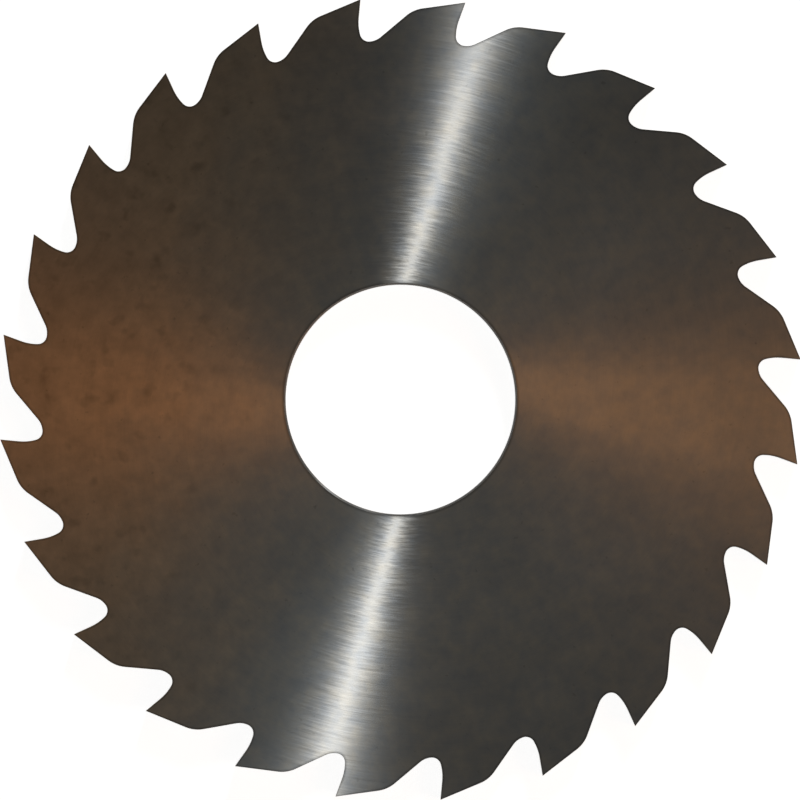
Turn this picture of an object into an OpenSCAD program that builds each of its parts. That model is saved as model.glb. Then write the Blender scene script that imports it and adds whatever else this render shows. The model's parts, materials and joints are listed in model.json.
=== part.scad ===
// Slitting saw: a flat ground disc with a plain arbor hole and a ring of hooked teeth.
// It lies flat on its lower side. The bore axis is +Z and the teeth cut clockwise, seen from above.

/* [Blade] */
// Diameter over the tooth tips
blade_d = 44.45; // [43:0.05:50]
// Thickness at the teeth and at the clamping lands, which is the width of the slot it cuts
blade_t = 2.38; // [0.8:0.01:3.2]

/* [Arbor hole] */
// Diameter of the hole that slides over the arbor
bore_d = 12.7; // [8:0.1:16]
// Width of the broken edge at each mouth of the hole
bore_chamfer = 0.1; // [0.05:0.01:0.3]

/* [Side relief] */
// Outside diameter of the flat land that the arbor flanges grip
clamp_d = 25.4; // [20:0.1:30]
// Depth to which each side is hollow ground below its lands
relief_depth = 0.03; // [0.01:0.01:0.1]
// Radial width of the run from the clamping land down to that depth
relief_lead = 1.5; // [0.5:0.1:2.5]
// Radial width of the flat rim left between the hollow and the gullet floors
rim_w = 0.8; // [0.3:0.1:1.5]

/* [Teeth] */
// Number of teeth
tooth_count = 24; // [20:1:28]
// Height of a tooth from the gullet floor to its tip
tooth_h = 2.37; // [2:0.01:2.6]
// Angle by which the cutting face leans forward of the radius, in degrees
rake_angle = 11; // [5:0.5:14]
// Length of the straight cutting face behind the tip
face_flat = 1; // [0.6:0.05:1.2]
// Radius of the hollow below the straight face
hook_r = 2.8; // [2:0.1:6]
// Radius of the gullet where it meets the cutting face
root_r = 0.5; // [0.4:0.02:0.6]
// Radius of the gullet where it runs out into the tooth's back
floor_r = 1.1; // [0.8:0.05:1.4]
// Length of the relieved land from the tip to the corner above the back
land_w = 2.9; // [2.4:0.05:3.2]
// Angle of that land below the tangent at the tip, in degrees
land_angle = 17; // [10:0.5:20]
// Radius that rounds the corner between land and back
heel_r = 1.8; // [0.6:0.1:2]

/* [Hidden] */
$fn = 144;

// Cutting tools reach past the faces they cut by this much
overcut = 1;
// Widest angle between neighbouring points of an arc in the outline, in degrees
arc_step = 7.5;

function unit(v) = v / norm(v);
function quarter_turn(v) = [-v[1], v[0]];
function clockwise(p, a) = [p[0] * cos(a) + p[1] * sin(a), p[1] * cos(a) - p[0] * sin(a)];

// Points of an arc about c, from one point to another by the shorter way
function arc(c, from, to) =
    let (
        a = from - c,
        b = to - c,
        sweep = atan2(cross(b, a), a * b),
        steps = ceil(abs(sweep) / arc_step)
    )
    [for (i = [0 : steps]) c + clockwise(a, sweep * i / steps)];

// The point at r0 from the axis and r1 from c, on the anticlockwise side of c
function meeting_point(c, r0, r1) =
    let (d = norm(c), along = (r0 ^ 2 - r1 ^ 2 + d ^ 2) / (2 * d))
    along * unit(c) + sqrt(r0 ^ 2 - along ^ 2) * quarter_turn(unit(c));

// The point where a line from p touches the circle about c. Seen from c, it lies clockwise of p.
function touch_point(p, c, r) =
    let (d = p - c, k = r / norm(d))
    c + r * (k * unit(d) - sqrt(1 - k ^ 2) * quarter_turn(unit(d)));

// One tooth, with its tip on +Y and the next tip one pitch on, clockwise
tip_r = blade_d / 2;
gullet_r = tip_r - tooth_h;
pitch = 360 / tooth_count;
tip = [0, tip_r];
next_tip = clockwise(tip, pitch);

// Cutting face: a straight run, then a hollow that ends on the gullet's root arc
face_end = tip - face_flat * [sin(rake_angle), cos(rake_angle)];
hook_c = face_end + hook_r * [cos(rake_angle), -sin(rake_angle)];
root_c = meeting_point(hook_c, gullet_r + root_r, hook_r - root_r);
hook_end = hook_c + hook_r * unit(root_c - hook_c);

// Gullet: the root arc and the floor arc share their lowest point
gullet_low = gullet_r * unit(root_c);
floor_c = (gullet_r + floor_r) * unit(root_c);

// Land and back of the next tooth: the back runs from the corner to the floor arc
land_dir = [-cos(pitch - land_angle), sin(pitch - land_angle)];
corner = next_tip + land_w * land_dir;
floor_end = touch_point(corner, floor_c, floor_r);
back_dir = unit(floor_end - corner);
corner_cut = heel_r * tan(acos(back_dir * land_dir) / 2);
heel_start = corner + corner_cut * back_dir;
heel_end = corner - corner_cut * land_dir;
heel_c = heel_start + heel_r * quarter_turn(back_dir);

// Hook and root share a point, and so do root and floor, so the root's own ends are left out
root_arc = arc(root_c, hook_end, gullet_low);
tooth_outline = [
    tip,
    each arc(hook_c, face_end, hook_end),
    for (i = [1 : len(root_arc) - 2]) root_arc[i],
    each arc(floor_c, gullet_low, floor_end),
    each arc(heel_c, heel_start, heel_end),
];

// Outline of the toothed disc
module toothed_disc() {
    polygon([for (k = [0 : tooth_count - 1]) for (p = tooth_outline) clockwise(p, pitch * k)]);
}

module arbor_hole() {
    translate([0, 0, -overcut]) cylinder(d = bore_d, h = blade_t + 2 * overcut);
}

// Broken edge at the upper mouth of the arbor hole
module bore_mouth() {
    bore_r = bore_d / 2;
    translate([0, 0, blade_t - bore_chamfer])
        cylinder(r1 = bore_r, r2 = bore_r + bore_chamfer + overcut, h = bore_chamfer + overcut);
}

// Shallow ring ground out of the upper side: down from the clamping land, then slowly up to the rim.
// Both slopes run on above the side, so that they cross it at the land's and the rim's edges.
module side_hollow() {
    clamp_r = clamp_d / 2;
    rim_r = gullet_r - rim_w;
    deepest_r = clamp_r + relief_lead;
    rotate_extrude() polygon([
        [2 * clamp_r - deepest_r, blade_t + relief_depth],
        [deepest_r, blade_t - relief_depth],
        [2 * rim_r - deepest_r, blade_t + relief_depth],
    ]);
}

module both_sides() {
    children();
    translate([0, 0, blade_t]) mirror([0, 0, 1]) children();
}

module blade() {
    color([0.36, 0.33, 0.30]) difference() {
        linear_extrude(blade_t) toothed_disc();
        arbor_hole();
        both_sides() {
            bore_mouth();
            side_hollow();
        }
    }
}

blade();
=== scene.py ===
# %% [markdown]
# A slitting saw is a thin disc of tool steel with hooked teeth round its rim and a plain hole for
# an arbor. It is ground from one piece, so the scene has one piece too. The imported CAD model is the
# frame: it gives the blade's diameter, its thickness and its hole, and the scene takes those sizes
# from it.

# %% Load the frame and read the blade's main sizes
import json
from math import cos, pi, radians, sin, sqrt, tan

import bmesh
import bpy
from mathutils import Matrix, Vector


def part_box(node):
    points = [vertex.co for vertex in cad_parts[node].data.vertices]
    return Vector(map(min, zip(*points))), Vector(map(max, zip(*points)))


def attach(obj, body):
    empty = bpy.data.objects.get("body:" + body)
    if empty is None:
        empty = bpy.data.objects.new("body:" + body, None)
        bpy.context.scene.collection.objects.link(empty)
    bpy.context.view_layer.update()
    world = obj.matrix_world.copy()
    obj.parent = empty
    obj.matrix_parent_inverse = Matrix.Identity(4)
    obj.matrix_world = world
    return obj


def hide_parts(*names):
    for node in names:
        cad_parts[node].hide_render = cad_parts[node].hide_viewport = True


MM = 0.001

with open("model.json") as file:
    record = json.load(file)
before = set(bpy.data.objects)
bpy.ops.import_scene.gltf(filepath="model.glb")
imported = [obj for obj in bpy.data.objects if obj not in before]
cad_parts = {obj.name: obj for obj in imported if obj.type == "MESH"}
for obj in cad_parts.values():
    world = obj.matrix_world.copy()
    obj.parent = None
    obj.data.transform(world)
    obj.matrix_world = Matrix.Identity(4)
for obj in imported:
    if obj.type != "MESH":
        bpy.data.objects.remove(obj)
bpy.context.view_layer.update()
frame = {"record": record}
mounts = {mount["name"]: mount for mount in frame["record"]["mounts"]}

low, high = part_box("blade")
tip_r = (high[1] - low[1]) / 2
blade_t = high[2] - low[2]
bore_r = mounts["arbor_bore"]["dims"]["r_mm"] * MM
bore_chamfer = (blade_t - mounts["arbor_bore"]["dims"]["length_mm"] * MM) / 2
print(f"blade {2 * tip_r / MM:.2f} x {blade_t / MM:.2f} mm, hole {2 * bore_r / MM:.2f} mm")

# %% [markdown]
# Node trees are easier to read as formulas than as lists of links. `Wire` stands for one socket and
# turns `a * b + 1` into Math nodes. `Board` stands for a tree, and its one method `add` makes any
# other node: its type, then its settings, then the values or wires of its sockets. Geometry and
# materials both use them.

# %% A small language for node trees
class Wire:
    def __init__(self, board, socket):
        self.board = board
        self.socket = socket

    def __getitem__(self, name):
        return Wire(self.board, self.socket.node.outputs[name])

    def __add__(self, other):
        return self.board.maths("ADD", self, other)

    def __sub__(self, other):
        return self.board.maths("SUBTRACT", self, other)

    def __rsub__(self, other):
        return self.board.maths("SUBTRACT", other, self)

    def __mul__(self, other):
        return self.board.maths("MULTIPLY", self, other)

    def __truediv__(self, other):
        return self.board.maths("DIVIDE", self, other)

    def __rtruediv__(self, other):
        return self.board.maths("DIVIDE", other, self)

    def __lt__(self, other):
        return self.board.maths("LESS_THAN", self, other)

    def __gt__(self, other):
        return self.board.maths("GREATER_THAN", self, other)

    __radd__ = __add__
    __rmul__ = __mul__


class Board:
    def __init__(self, tree):
        self.tree = tree

    def add(self, kind, settings=None, sockets=None):
        node = self.tree.nodes.new(kind)
        for name, value in (settings or {}).items():
            setattr(node, name, value)
        for name, value in (sockets or {}).items():
            self.plug(node.inputs[name], value)
        return Wire(self, node.outputs[0]) if node.outputs else None

    def plug(self, socket, value):
        for item in value if isinstance(value, list) else [value]:
            if isinstance(item, Wire):
                self.tree.links.new(item.socket, socket)
            else:
                socket.default_value = item

    def maths(self, operation, *terms):
        return self.add("ShaderNodeMath", {"operation": operation}, dict(enumerate(terms)))

# %% [markdown]
# Every tooth is the same: a cutting face that leans forward, a hollow below it, a rounded gullet, a
# straight back and a relieved land. A draughtsman would draw it as a line with five corners and
# then round four of them. The corners are found here from the sizes of the real tooth. The rounding
# is left to Geometry Nodes.

# %% Helpers for the tooth's corners
def quarter_turn(v):
    return Vector((-v.y, v.x))


def meeting_point(c, r0, r1):
    """The point at r0 from the axis and r1 from c, on the anticlockwise side of c."""
    along = (r0 ** 2 - r1 ** 2 + c.length_squared) / (2 * c.length)
    return along * c.normalized() + sqrt(r0 ** 2 - along ** 2) * quarter_turn(c.normalized())


def touch_point(p, c, r):
    """The point where a line from p touches the circle about c, clockwise of p as seen from c."""
    way = (p - c).normalized()
    k = r / (p - c).length
    return c + r * (k * way - sqrt(1 - k ** 2) * quarter_turn(way))


def arc_corner(c, start, end):
    """The corner where the tangents at both ends of an arc about c meet."""
    a = start - c
    b = end - c
    return c + (a + b) * a.length_squared / (a.length_squared + a.dot(b))

# %% Sizes of one tooth and the corners of its line
TOOTH_COUNT = 24
TOOTH_H = 2.37 * MM
RAKE = radians(11)
FACE_FLAT = 1 * MM
HOOK_R = 2.8 * MM
ROOT_R = 0.5 * MM
FLOOR_R = 1.1 * MM
LAND_W = 2.9 * MM
LAND_ANGLE = radians(17)
HEEL_R = 1.8 * MM

pitch = 2 * pi / TOOTH_COUNT
gullet_r = tip_r - TOOTH_H
tip = Vector((0, tip_r))
next_tip = Matrix.Rotation(-pitch, 2) @ tip

face_end = tip - FACE_FLAT * Vector((sin(RAKE), cos(RAKE)))
hook_c = face_end + HOOK_R * Vector((cos(RAKE), -sin(RAKE)))
root_c = meeting_point(hook_c, gullet_r + ROOT_R, HOOK_R - ROOT_R)
hook_end = hook_c + HOOK_R * (root_c - hook_c).normalized()

gullet_low = gullet_r * root_c.normalized()
floor_c = (gullet_r + FLOOR_R) * root_c.normalized()
land_way = Vector((-cos(pitch - LAND_ANGLE), sin(pitch - LAND_ANGLE)))
heel = next_tip + LAND_W * land_way
floor_end = touch_point(heel, floor_c, FLOOR_R)

tooth_line = [
    (tip, 0),
    (arc_corner(hook_c, face_end, hook_end), HOOK_R),
    (arc_corner(root_c, hook_end, gullet_low), ROOT_R),
    (arc_corner(floor_c, gullet_low, floor_end), FLOOR_R),
    (heel, HEEL_R),
    (next_tip, 0),
]
for corner, rounding in tooth_line:
    print(f"corner {corner.x / MM:7.3f} {corner.y / MM:7.3f} mm, rounded by {rounding / MM:.2f} mm")

# %% [markdown]
# Two more lines complete the drawing. The first is half a section through the disc: the hole with
# its broken edges, the flat lands that an arbor's flanges grip, and the shallow hollow that keeps
# the sides off the slot. The second is a section across the outline: a wall with a tiny broken edge
# above and below. An edge shade value of 1 marks the points beside an edge, where the finish later
# paints a dark line of shade, as a broken edge would mirror the dim room.

# %% Lines for the disc's section and for the wall of the teeth
CLAMP_R = 12.7 * MM
RELIEF_DEPTH = 0.03 * MM
RELIEF_LEAD = 1.5 * MM
RIM_W = 0.8 * MM
EDGE_BREAK = 0.02 * MM
EDGE_BAND = 0.15 * MM

rim_r = gullet_r - RIM_W

upper_disc = [
    (rim_r - bore_r, blade_t, 0),
    (CLAMP_R + RELIEF_LEAD - bore_r, blade_t - RELIEF_DEPTH, 0),
    (CLAMP_R - bore_r, blade_t, 0),
    (bore_chamfer + EDGE_BAND, blade_t, 0),
    (bore_chamfer, blade_t, 1),
    (0, blade_t - bore_chamfer, 1),
    (0, blade_t - bore_chamfer - EDGE_BAND, 0),
]
upper_wall = [
    (EDGE_BAND, blade_t, 0),
    (EDGE_BREAK, blade_t, 1),
    (0, blade_t - EDGE_BREAK, 1),
    (0, blade_t - EDGE_BAND, 0),
]


def with_lower_half(line):
    return line + [(x, blade_t - z, edge_shade) for x, z, edge_shade in reversed(line)]


disc_section = with_lower_half(upper_disc)
wall_section = with_lower_half(upper_wall)
print(f"{len(disc_section)} points in the disc's section, {len(wall_section)} across the wall")

# %% [markdown]
# The three lines go into one mesh of loose edges, with attributes that say which line a point
# belongs to, how far its corner is rounded and whether it lies beside an edge. That mesh is the
# drawing which the Geometry Nodes tree turns into a blade.

# %% Put the lines into one drawing
TOOTH, DISC, WALL = range(3)


def drawing():
    points = [(p.x, p.y, TOOTH, rounding, 0) for p, rounding in tooth_line]
    points += [(x, z, DISC, 0, edge_shade) for x, z, edge_shade in disc_section]
    points += [(x, z, WALL, 0, edge_shade) for x, z, edge_shade in wall_section]
    xs, ys, lines, roundings, edge_shades = zip(*points)
    edges = [(i, i + 1) for i in range(len(points) - 1) if lines[i] == lines[i + 1]]
    mesh = bpy.data.meshes.new("blade_drawing")
    mesh.from_pydata([(x, y, 0) for x, y in zip(xs, ys)], edges, [])
    # The last attribute marks the points beside an edge, where the finish paints a dark line of
    # shade.
    for name, values in (("line", lines), ("rounding", roundings), ("edge_shade", edge_shades)):
        attribute = mesh.attributes.new(name, "FLOAT", "POINT")
        attribute.data.foreach_set("value", values)
    return mesh


blade = bpy.data.objects.new("saw_blade", drawing())
bpy.context.collection.objects.link(blade)
print(f"drawing: {len(blade.data.vertices)} points, {len(blade.data.edges)} edges")

# %% [markdown]
# The tree works as a workshop does. It repeats the tooth round the axis and joins the copies into
# one line, rounds the corners, runs the wall's section along that line and turns the disc's section
# round the axis. What is left open is the flat ring between the wall and the disc, on each side. It
# is filled between the two open edges, so every seam closes on the same points. Cutting teeth out
# of a cylinder would give the same blade, but here every size stays a named input that can be
# changed and looked at.

# %% Start the tree and give it its named sizes
ARC_PIECES = 12
TURN_PIECES = 288
WELD_DISTANCE = 0.001 * MM

sizes = {
    "Tooth Count": ("NodeSocketInt", TOOTH_COUNT),
    "Thickness": ("NodeSocketFloat", blade_t),
    "Hole Radius": ("NodeSocketFloat", bore_r),
    "Arc Pieces": ("NodeSocketInt", ARC_PIECES),
    "Turn Pieces": ("NodeSocketInt", TURN_PIECES),
    "Weld Distance": ("NodeSocketFloat", WELD_DISTANCE),
    "Finish": ("NodeSocketMaterial", None),
}
tree = bpy.data.node_groups.new("blade_from_drawing", "GeometryNodeTree")
tree.interface.new_socket("Geometry", in_out="OUTPUT", socket_type="NodeSocketGeometry")
tree.interface.new_socket("Drawing", in_out="INPUT", socket_type="NodeSocketGeometry")
for name, (kind, _) in sizes.items():
    tree.interface.new_socket(name, in_out="INPUT", socket_type=kind)
geo = Board(tree)
given = geo.add("NodeGroupInput")
print(f"{len(sizes)} named inputs")

# %% Repeat the tooth and round its corners
HALF_STEP = 0.5


def line_of(number):
    which = geo.add("GeometryNodeInputNamedAttribute", {}, {"Name": "line"})
    wanted = (which > number - HALF_STEP) * (which < number + HALF_STEP)
    return geo.add("GeometryNodeSeparateGeometry", {}, {
        "Geometry": given["Drawing"],
        "Selection": wanted,
    })


def weld(mesh):
    return geo.add("GeometryNodeMergeByDistance", {}, {
        "Geometry": mesh,
        "Distance": given["Weld Distance"],
    })


turn = -2 * pi * geo.add("GeometryNodeInputIndex") / given["Tooth Count"]
teeth = geo.add("GeometryNodeInstanceOnPoints", {}, {
    "Points": geo.add("GeometryNodePoints", {}, {"Count": given["Tooth Count"]}),
    "Instance": line_of(TOOTH),
    "Rotation": geo.add("FunctionNodeAxisAngleToRotation", {}, {"Axis": (0, 0, 1), "Angle": turn}),
})
ring = weld(geo.add("GeometryNodeRealizeInstances", {}, {"Geometry": teeth}))
ring = geo.add("GeometryNodeRemoveAttribute", {}, {"Geometry": ring, "Name": "edge_shade"})
outline = geo.add("GeometryNodeFilletCurve", {"mode": "POLY"}, {
    "Curve": geo.add("GeometryNodeMeshToCurve", {}, {"Mesh": ring}),
    "Count": given["Arc Pieces"],
    "Radius": geo.add("GeometryNodeInputNamedAttribute", {}, {"Name": "rounding"}),
    "Limit Radius": True,
})
print("the tooth is repeated and rounded")

# %% Run the wall round the outline and turn the disc
def sweep(path, section):
    level = geo.add("GeometryNodeSetCurveNormal", {"mode": "Z_UP"}, {"Curve": path})
    upright = geo.add("GeometryNodeTransform", {}, {"Geometry": section, "Rotation": (pi, 0, 0)})
    profile = geo.add("GeometryNodeMeshToCurve", {}, {"Mesh": upright})
    return geo.add("GeometryNodeCurveToMesh", {}, {"Curve": level, "Profile Curve": profile})


hole_ring = geo.add("GeometryNodeCurvePrimitiveCircle", {}, {
    "Resolution": given["Turn Pieces"],
    "Radius": given["Hole Radius"],
})
tooth_wall = sweep(outline, line_of(WALL))
disc = sweep(hole_ring, line_of(DISC))
swept = geo.add("GeometryNodeJoinGeometry", {}, {"Geometry": [tooth_wall, disc]})
print("the wall and the disc are swept")

# %% Fill the flat rings and finish the tree
FACES_AT_CLOSED_EDGE = 2

height = geo.add("ShaderNodeSeparateXYZ", {}, {"Vector": geo.add("GeometryNodeInputPosition")})["Z"]
open_edge = geo.add("GeometryNodeInputMeshEdgeNeighbors") < FACES_AT_CLOSED_EDGE
upper_loops = geo.add("GeometryNodeMeshToCurve", {}, {
    "Mesh": weld(swept),
    "Selection": open_edge * (height > given["Thickness"] / 2),
})
flat_ring = geo.add("GeometryNodeFillCurve", {"mode": "TRIANGLES"}, {"Curve": upper_loops})
lift = geo.add("ShaderNodeCombineXYZ", {}, {"Z": given["Thickness"]})
upper_ring = geo.add("GeometryNodeTransform", {}, {"Geometry": flat_ring, "Translation": lift})
lower_ring = geo.add("GeometryNodeFlipFaces", {}, {"Mesh": flat_ring})
joined = geo.add("GeometryNodeJoinGeometry", {}, {"Geometry": [swept, upper_ring, lower_ring]})
real = geo.add("GeometryNodeRealizeInstances", {}, {"Geometry": weld(joined)})
finished = geo.add("GeometryNodeSetMaterial", {}, {"Geometry": real, "Material": given["Finish"]})
geo.add("NodeGroupOutput", {}, {"Geometry": finished})
print(f"tree of {len(tree.nodes)} nodes")

# %% [markdown]
# Both sides were ground on a rotary table, and the wheel left fine lines that run outwards in a
# spiral. They decide how the blade looks: a point shines only where the light lies square across
# its lines, so one lamp makes one bright band on each side of the hole, and the spiral bends the
# two bands into an S. The finish therefore starts from the lines: where a point lies round the
# axis, and how far its line leans there. The lines run out by the lay's lead for each radian that
# they turn. Lengths in the finish are millimetres.

# %% Ground steel: the place of a point on the spiral lay
LAY_LEAD = 1.66

steel = bpy.data.materials.new("ground_steel")
steel.use_nodes = True
steel.node_tree.nodes.clear()
look = Board(steel.node_tree)

place = look.add("ShaderNodeVectorMath", {"operation": "SCALE"}, {
    "Vector": look.add("ShaderNodeTexCoord")["Object"],
    "Scale": 1 / MM,
})
spot = look.add("ShaderNodeSeparateXYZ", {}, {"Vector": place})
radius = look.maths("SQRT", spot["X"] * spot["X"] + spot["Y"] * spot["Y"])
angle = look.maths("ARCTAN2", spot["Y"], spot["X"])
lay_phase = radius / LAY_LEAD - angle
lean = look.maths("ARCSINE", LAY_LEAD / radius)
print(f"the lay runs outwards {2 * pi * LAY_LEAD:.1f} mm a turn")

# %% [markdown]
# Noise that is squeezed across the lay and drawn out along it gives lines. Three kinds are needed:
# long fine ones that streak the steel, short ones that make the edges of the bright bands ragged,
# and dashes that give the bands their grain. The walls of the teeth were ground across the blade,
# and the hole round its axis, so their lines run upright on the teeth and level in the hole. An
# image texture could show them too, but noise has no seam and no end.

# %% Ground steel: lines on the sides
LINE_MIDDLE = 14
LINE_ROUGHNESS = 0.65


def noise(vector, size, detail, roughness):
    return look.add("ShaderNodeTexNoise", {}, {
        "Vector": vector,
        "Scale": 1 / size,
        "Detail": detail,
        "Roughness": roughness,
    })


def lay_lines(width, length, detail):
    vector = look.add("ShaderNodeCombineXYZ", {}, {
        "X": look.maths("COSINE", lay_phase) * LAY_LEAD,
        "Y": look.maths("SINE", lay_phase) * LAY_LEAD,
        "Z": radius * (LINE_MIDDLE / LAY_LEAD * width / length),
    })
    return noise(vector, width, detail, LINE_ROUGHNESS)


long_lines = lay_lines(width=0.07, length=3.3, detail=3)
short_lines = lay_lines(width=0.16, length=0.9, detail=2)
dashes = lay_lines(width=0.12, length=0.8, detail=2)
print("long lines, short lines and dashes follow the lay")

# %% Ground steel: lines on the walls
WALL_STEEPNESS = 0.5
HOLE_LIMIT = 10
WALL_LINE_WIDTH = 0.08
WALL_LINE_LENGTH = 1.5

normal = look.add("ShaderNodeNewGeometry")["Normal"]
facing = look.add("ShaderNodeSeparateXYZ", {}, {"Vector": normal})
wall = look.maths("ABSOLUTE", facing["Z"]) < WALL_STEEPNESS
in_hole = radius < HOLE_LIMIT

stretch = WALL_LINE_WIDTH / WALL_LINE_LENGTH
level_scale = 1 - in_hole * (1 - stretch)
upright_scale = stretch + in_hole * (1 - stretch)
wall_place = look.add("ShaderNodeCombineXYZ", {}, {
    "X": spot["X"] * level_scale,
    "Y": spot["Y"] * level_scale,
    "Z": spot["Z"] * upright_scale,
})
wall_lines = noise(wall_place, size=WALL_LINE_WIDTH, detail=2, roughness=LINE_ROUGHNESS)
print("lines run upright on the teeth and level in the hole")

# %% [markdown]
# The steel isn't one colour. Clean steel shimmers between a cool and a creamy white, in small
# patches. Part of the blade is tarnished brown, and the border of the tarnish drifts with the
# stains. Mixing colours of steel shows this best, because all of them stay metal. The walls were
# ground last, so they are clean all round.

# %% Ground steel: clean and tarnished
NOISE_RANGE = (0.3, 0.7)
NOISE_MIDDLE = 0.5
COOL_STEEL = (0.452, 0.472, 0.488, 1)
CREAMY_STEEL = (0.492, 0.478, 0.44, 1)
TARNISHED_STEEL = (0.745, 0.595, 0.44, 1)
WALL_STEEL = (0.42, 0.416, 0.402, 1)
TARNISH_SIDE = radians(162)
TARNISH_RANGE = (4, 15)
TARNISH_DRIFT = 10
MIX_SHARE, MIX_FIRST, MIX_SECOND, MIX_RESULT = 0, 6, 7, 2


def spread(value, old, new):
    return look.add("ShaderNodeMapRange", {}, {
        "Value": value,
        "From Min": old[0],
        "From Max": old[1],
        "To Min": new[0],
        "To Max": new[1],
    })


def towards(side):
    return spot["X"] * cos(side) + spot["Y"] * sin(side)


def blend(share, first, second):
    """Sockets of a Mix node share their names, so those for colours go by number."""
    sockets = {MIX_SHARE: share, MIX_FIRST: first, MIX_SECOND: second}
    return look.add("ShaderNodeMix", {"data_type": "RGBA"}, sockets)[MIX_RESULT]


mottle = noise(place, size=0.9, detail=3, roughness=0.6)
stains = noise(place, size=3.3, detail=4, roughness=0.6)
drift = (stains - NOISE_MIDDLE) * TARNISH_DRIFT
tarnish = spread(towards(TARNISH_SIDE) + drift, TARNISH_RANGE, (0, 1))
clean_colour = blend(spread(mottle, NOISE_RANGE, (0, 1)), COOL_STEEL, CREAMY_STEEL)
bare_colour = blend(wall, blend(tarnish, clean_colour, TARNISHED_STEEL), WALL_STEEL)
print("tarnish lies on one part of the blade")

# %% [markdown]
# Over the colour lie the marks of use and storage: broad stains, mottling and soft smudges that are
# stronger where the steel is tarnished, and tiny specks. Painted shade lies over them: a thin dark
# line along every edge, where a broken edge would mirror the dim room, and a darkening towards one
# side, for the dim side of the room, where the steel is also a little rougher. The tone also falls
# from the hole towards the rim. Each mark is a factor near 1 and the tone is their product, so any
# one of them can be changed without the others.

# %% Ground steel: tone of the sides and the walls
STAIN_TONE = (0.95, 1.05)
MOTTLE_DEPTH = (0.4, 0.56)
SMUDGE_RANGE = (0.42, 0.14)
SMUDGE_DEPTH = 0.4
SPECK_RANGE = (0.22, 0.3)
SPECK_TONE = (0.8, 1)
LINE_TONE = (0.97, 1.03)
RIM_RANGE = (6.5, 20)
RIM_TONE = (1.3, 0.92)
# The side below sets both a slightly rougher side and painted shade that darkens the tone towards the
# dim side of the room.
DULL_AND_SHADED_SIDE = radians(105)
DULL_AND_SHADED_RANGE = (-12, 12)
SIDE_SHADE_TONE = (1.08, 0.8)
WALL_TONE = (0.88, 1.08)
# Painted shade: a dark line along every edge, where a broken edge would mirror the dim room.
EDGE_SHADE_TONE = (1, 0.5)

smudges = noise(place, size=1.1, detail=2, roughness=0.5)
specks = noise(place, size=0.31, detail=2, roughness=0.5)
# Points beside an edge, where the painted dark line of shade lies.
painted_edge_shade = look.add("ShaderNodeAttribute", {"attribute_name": "edge_shade"})["Fac"]

side_tone = (
    spread(stains, NOISE_RANGE, STAIN_TONE)
    * (1 + (mottle - NOISE_MIDDLE) * spread(tarnish, (0, 1), MOTTLE_DEPTH))
    * (1 - tarnish * spread(smudges, SMUDGE_RANGE, (0, SMUDGE_DEPTH)))
    * spread(specks, SPECK_RANGE, SPECK_TONE)
    * spread(long_lines, NOISE_RANGE, LINE_TONE)
    * spread(radius, RIM_RANGE, RIM_TONE)
    # painted shade: darker towards the dim side of the room
    * spread(towards(DULL_AND_SHADED_SIDE), DULL_AND_SHADED_RANGE, SIDE_SHADE_TONE)
)
wall_tone = spread(wall_lines, NOISE_RANGE, WALL_TONE)
tone = (side_tone * (1 - wall) + wall_tone * wall) * spread(painted_edge_shade, (0, 1), EDGE_SHADE_TONE)
colour = look.add("ShaderNodeVectorMath", {"operation": "SCALE"}, {
    "Vector": bare_colour,
    "Scale": tone,
})
print("stains, smudges and dark edges lie over the colour")

# %% [markdown]
# Each line of the lay is a groove with a flat and two flanks, far too fine for a mesh. A Bump node
# would guess their slope from neighbouring pixels, which is too coarse for them. So the steel is
# mixed from three copies of itself: one with the blade's own normal, and two with the normal leaned
# exactly across the lay, one way and the other. The flanks throw a lamp's light into narrow bands.
# Small jitter in the direction of the lay makes the bands as ragged as on the real blade, and
# jitter in the share of the flats makes them as grainy. The sides stay rougher than 0.275, because
# the denoiser takes smoother metal for a mirror and leaves a faint hatching in it.

# %% Ground steel: roughness and direction of the lay
GRAIN_RANGE = (7, 18)
LAY_ROUGHNESS = (0.34, 0.284)
LINE_ROUGHER = (0.985, 1.015)
DULL_ROUGHER = (1.02, 1)
TARNISH_ROUGHER = (1, 1.5)
LEAN_JITTER = (radians(8), radians(2.6))

roughness = (
    spread(radius, GRAIN_RANGE, LAY_ROUGHNESS)
    * spread(long_lines, NOISE_RANGE, LINE_ROUGHER)
    * spread(towards(DULL_AND_SHADED_SIDE), DULL_AND_SHADED_RANGE, DULL_ROUGHER)
    * spread(tarnish, (0, 1), TARNISH_ROUGHER)
)
across_lay = angle - lean + (short_lines - NOISE_MIDDLE) * spread(radius, GRAIN_RANGE, LEAN_JITTER)
lay_x = look.maths("COSINE", across_lay)
lay_y = look.maths("SINE", across_lay)
print("roughness and direction vary along the lay")

# %% Ground steel: the flat and the two flanks of a groove
FLANK_TILT = tan(radians(24))
EQUAL_SHARES = 0.5
FLAT_SHARE = (0.05, 0.34)
SHARE_JITTER = 0.6
MIDDLE_LEAN = radians(7)
LAY_TURN = (pi / 2 - MIDDLE_LEAN) / (2 * pi)


def leaned_normal(x, y, z):
    tilt = look.add("ShaderNodeCombineXYZ", {}, {"X": x, "Y": y, "Z": z})
    leaned = look.add("ShaderNodeVectorMath", {"operation": "ADD"}, {0: normal, 1: tilt})
    return look.add("ShaderNodeVectorMath", {"operation": "NORMALIZE"}, {0: leaned})


def lay_steel(groove_normal):
    return look.add("ShaderNodeBsdfPrincipled", {}, {
        "Base Color": colour,
        "Metallic": 1,
        "Roughness": roughness,
        "Anisotropic": 1,
        "Anisotropic Rotation": LAY_TURN,
        "Normal": groove_normal,
    })


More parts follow.
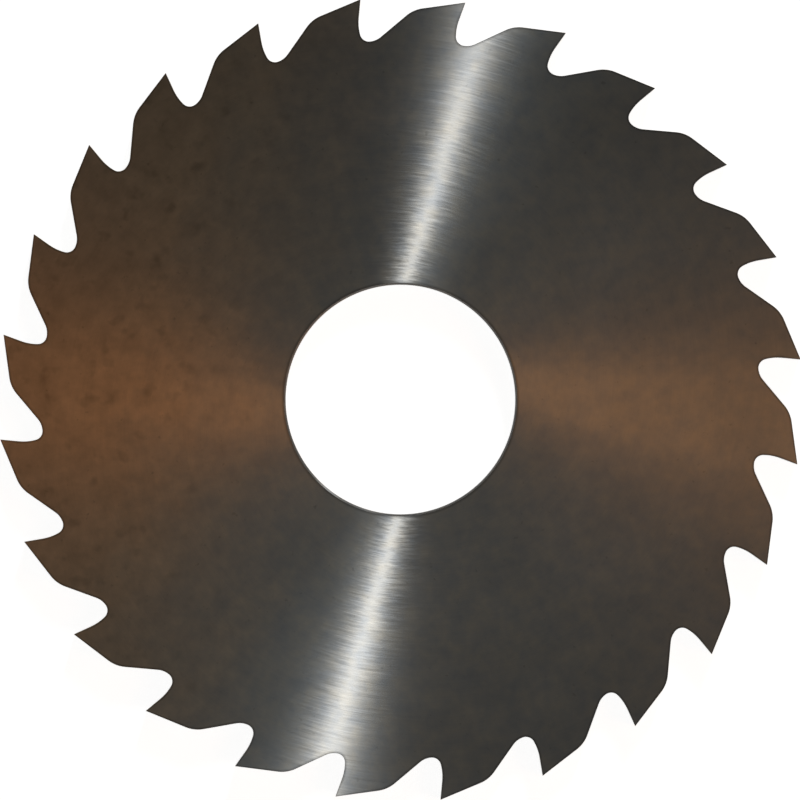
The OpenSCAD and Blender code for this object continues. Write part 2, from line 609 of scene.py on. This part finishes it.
outer_flank = lay_steel(leaned_normal(lay_x * FLANK_TILT, lay_y * FLANK_TILT, 0))
inner_flank = lay_steel(leaned_normal(lay_x * -FLANK_TILT, lay_y * -FLANK_TILT, 0))
flanks = look.add("ShaderNodeMixShader", {}, {"Fac": EQUAL_SHARES, 1: outer_flank, 2: inner_flank})
flat_share = spread(radius, GRAIN_RANGE, FLAT_SHARE) + (dashes - NOISE_MIDDLE) * SHARE_JITTER
flats = lay_steel(normal)
side_steel = look.add("ShaderNodeMixShader", {}, {"Fac": flat_share, 1: flanks, 2: flats})
print(f"flanks rise {FLANK_TILT:.2f} mm a mm across the lay")

# %% Ground steel: the walls, and the finished material
WALL_TILT = 0.5
WALL_ROUGHNESS = (0.22, 0.32)

wall_tilt = (wall_lines - NOISE_MIDDLE) * WALL_TILT
wall_steel = look.add("ShaderNodeBsdfPrincipled", {}, {
    "Base Color": colour,
    "Metallic": 1,
    "Roughness": spread(wall_lines, NOISE_RANGE, WALL_ROUGHNESS),
    "Normal": leaned_normal(
        wall_tilt * (1 - in_hole) * facing["Y"],
        wall_tilt * (in_hole - 1) * facing["X"],
        wall_tilt * in_hole,
    ),
})
look.add("ShaderNodeOutputMaterial", {}, {
    "Surface": look.add("ShaderNodeMixShader", {}, {"Fac": wall, 1: side_steel, 2: wall_steel}),
})
print(f"finish of {len(steel.node_tree.nodes)} nodes")

# %% [markdown]
# The tree runs once. Its result is copied into a plain mesh, because the exported part carries
# meshes and not modifiers. The swept strips and the filled rings face different ways, so the closed
# shell has its faces turned outwards together. Corners sharper than the limit keep a hard edge, and
# arcs shade smoothly.

# %% Make the blade
SHARP_FROM = radians(25)

modifier = blade.modifiers.new("blade_from_drawing", "NODES")
modifier.node_group = tree
inputs = [item for item in tree.interface.items_tree if item.in_out == "INPUT"]
identifiers = {item.name: item.identifier for item in inputs}
for name, (_, value) in sizes.items():
    modifier[identifiers[name]] = steel if name == "Finish" else value
evaluated = blade.evaluated_get(bpy.context.evaluated_depsgraph_get())
shell = bpy.data.meshes.new_from_object(evaluated)
blade.modifiers.clear()
blade.data = shell

faces = bmesh.new()
faces.from_mesh(shell)
bmesh.ops.recalc_face_normals(faces, faces=faces.faces[:])
open_edges = sum(not edge.is_manifold for edge in faces.edges)
volume = faces.calc_volume() / MM ** 3
print(f"blade: {len(faces.faces)} faces, {open_edges} open edges, {volume:.1f} mm3")
faces.to_mesh(shell)
faces.free()
shell.shade_smooth()
shell.set_sharp_from_angle(angle=SHARP_FROM)

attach(blade, "root")
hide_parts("blade")

# %% [markdown]
# The blade lies on a plain white table. The table glows a little, as a light table does, so it
# stays white while the lamps are set for the steel, and the blade casts only a faint shadow on it.
# The renderer would spend most of its rays on such a large light, so it is told not to aim at the
# table. The rays that strike it by chance are enough, and the steel stays free of dots.

# %% White table
TABLE_SIZE = 4
TABLE_WHITE = (0.85, 0.85, 0.85, 1)
TABLE_ROUGHNESS = 0.9
GLOW_WHITE = (1, 1, 1, 1)
TABLE_GLOW = 0.9

half_side = TABLE_SIZE / 2
table_corners = [(x * half_side, y * half_side, 0) for x, y in ((-1, -1), (1, -1), (1, 1), (-1, 1))]
table_mesh = bpy.data.meshes.new("white_table")
table_mesh.from_pydata(table_corners, [], [(0, 1, 2, 3)])
table = bpy.data.objects.new("white_table", table_mesh)
bpy.context.collection.objects.link(table)

paper = bpy.data.materials.new("white_table")
paper.use_nodes = True
paper.node_tree.nodes.clear()
sheet = Board(paper.node_tree)
sheet.add("ShaderNodeOutputMaterial", {}, {
    "Surface": sheet.add("ShaderNodeBsdfPrincipled", {}, {
        "Base Color": TABLE_WHITE,
        "Roughness": TABLE_ROUGHNESS,
        "Specular IOR Level": 0,
        "Emission Color": GLOW_WHITE,
        "Emission Strength": TABLE_GLOW,
    }),
})
paper.cycles.emission_sampling = "NONE"
table_mesh.materials.append(paper)
print(f"table of {TABLE_SIZE} x {TABLE_SIZE} m")

# %% [markdown]
# In steel ground like this a lamp shows as a band across the lay, so each lamp is placed by the
# band that it makes. The narrow key lamp gives the two white bands, and two wider, dimmer lamps
# beside it give their shoulders. A faint pale lamp lifts the dark steel next to them. Warm lamps of
# growing width stand for the warm wall of a room, whose reflection colours the steel to the left
# and the right of the hole. A lamp's power follows from how bright it looks and from its area, so
# its width can be changed alone. Azimuths are those of the picture, which is turned against the
# model.

# %% Lamps
PICTURE_TURN = radians(-5.71)
LAMP_DISTANCE = 1.5
WHITE = (1, 0.985, 0.965)
COOL = (0.58, 0.82, 1)
PALE = (1, 0.93, 0.82)
AMBER = (1, 0.42, 0.12)
DIM_AMBER = (1, 0.5, 0.2)


def lamp(name, azimuth, elevation, width, height, tint, radiance):
    light = bpy.data.lights.new(name, "AREA")
    light.shape = "RECTANGLE"
    light.size = width
    light.size_y = height
    light.color = tint
    light.energy = radiance * pi * width * height
    around = radians(azimuth) + PICTURE_TURN
    up = radians(elevation)
    way = Vector((cos(around) * cos(up), sin(around) * cos(up), sin(up)))
    stand = bpy.data.objects.new(name, light)
    stand.location = LAMP_DISTANCE * way
    stand.rotation_euler = way.to_track_quat("Z", "Y").to_euler()
    bpy.context.collection.objects.link(stand)
    print(f"lamp {name}: {light.energy:.2f} W")


lamp("key", azimuth=73.4, elevation=42, width=0.055, height=0.4, tint=WHITE, radiance=37)
lamp("near_shoulder", azimuth=72, elevation=42, width=0.26, height=0.4, tint=COOL, radiance=0.56)
lamp("far_shoulder", azimuth=67, elevation=42, width=0.5, height=0.4, tint=COOL, radiance=0.2)
lamp("pale_wall", azimuth=45, elevation=50, width=1, height=1, tint=PALE, radiance=0.045)
lamp("warm_wall", azimuth=-8, elevation=50, width=0.37, height=1, tint=AMBER, radiance=0.9)
lamp("warm_corner", azimuth=-8, elevation=50, width=0.8, height=1, tint=AMBER, radiance=0.3)
lamp("warm_room", azimuth=-8, elevation=50, width=1.8, height=1, tint=DIM_AMBER, radiance=0.08)

# %% [markdown]
# Away from its bands the steel mirrors the rest of the room, which is dim: that is why a bright
# ground disc looks nearly black. The standard view transform keeps the table white and the steel's
# colours as they are set here, without a film curve over them.

# %% Dim room
ROOM_COLOUR = (0.088, 0.083, 0.076, 1)

world = bpy.data.worlds.new("dim_room")
world.use_nodes = True
world.node_tree.nodes["Background"].inputs["Color"].default_value = ROOM_COLOUR
bpy.context.scene.world = world
bpy.context.scene.view_settings.view_transform = "Standard"
print(f"room of brightness {ROOM_COLOUR[0]:.3f}")

# %% [markdown]
# The photograph looks straight down on the blade from so far that the wall of the hole can't be
# seen. A long lens gives the same flat view. The camera's height follows from the width that the
# picture covers at the blade's upper side, and the picture is turned and shifted so that the teeth
# fall where the photograph has them.

# %% Camera
LENS = 480
SENSOR = 36
CLIP_START = 0.01
PICTURE_WIDTH = 44.196 * MM
PICTURE_CENTRE = (-0.028 * MM, -0.022 * MM)

camera_data = bpy.data.cameras.new("camera")
camera_data.lens = LENS
camera_data.sensor_width = SENSOR
camera_data.clip_start = CLIP_START
camera = bpy.data.objects.new("camera", camera_data)
camera.location = (*PICTURE_CENTRE, blade_t + PICTURE_WIDTH * LENS / SENSOR)
camera.rotation_euler = (0, 0, PICTURE_TURN)
bpy.context.collection.objects.link(camera)
bpy.context.scene.camera = camera
print(f"camera {camera.location.z:.3f} m above the table")
